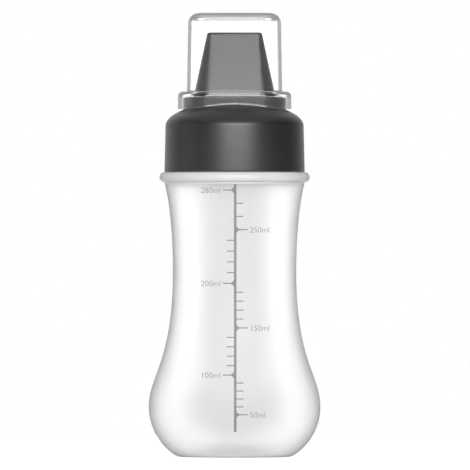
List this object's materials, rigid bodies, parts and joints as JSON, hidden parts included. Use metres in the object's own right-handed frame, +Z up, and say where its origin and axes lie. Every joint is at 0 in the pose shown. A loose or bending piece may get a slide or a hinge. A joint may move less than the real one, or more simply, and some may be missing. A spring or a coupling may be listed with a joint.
{
  "type": "squeeze bottle",
  "caption": "Waisted translucent squeeze bottle with a screw cap, a wide flat wedge nozzle and a clear lift-off cover over the nozzle.",
  "frame": {"origin": "middle of the foot, on the table", "axes": "+Z up along the bottle's axis; -Y is the front, the side that carries the measuring scale; X runs along the row of outlets in the nozzle"},
  "size_m": [0.0716, 0.0716, 0.185],
  "materials": {
    "milky_plastic": "satin, translucent",
    "seal_rubber": "matte",
    "dark_plastic": "fine grain",
    "clear_plastic": "clear"
  },
  "bodies": {
    "bottle": {"bottle_body": "milky_plastic"},
    "seal": {"sealing_ring": "seal_rubber"},
    "cap": {"dispensing_cap": "dark_plastic"},
    "cover": {"dust_cover": "clear_plastic"}
  },
  "joints": [
    {"name": "cap_rise", "type": "slide", "parent": "bottle", "child": "seal", "axis": [0, 0, 1], "range_m": [0, 0.0202]},
    {"name": "cap_turn", "type": "hinge", "parent": "seal", "child": "cap", "pos_m": [0, 0, 0.119], "axis": [0, 0, 1], "range_deg": [0, 1200]},
    {"name": "cover_lift", "type": "slide", "parent": "cap", "child": "cover", "axis": [0, 0, 1], "range_m": [0, 0.038]}
  ],
  "couplings": [
    {"joint": "cap_rise", "follows": "cap_turn", "m_per_rad": 0.00095493}
  ]
}
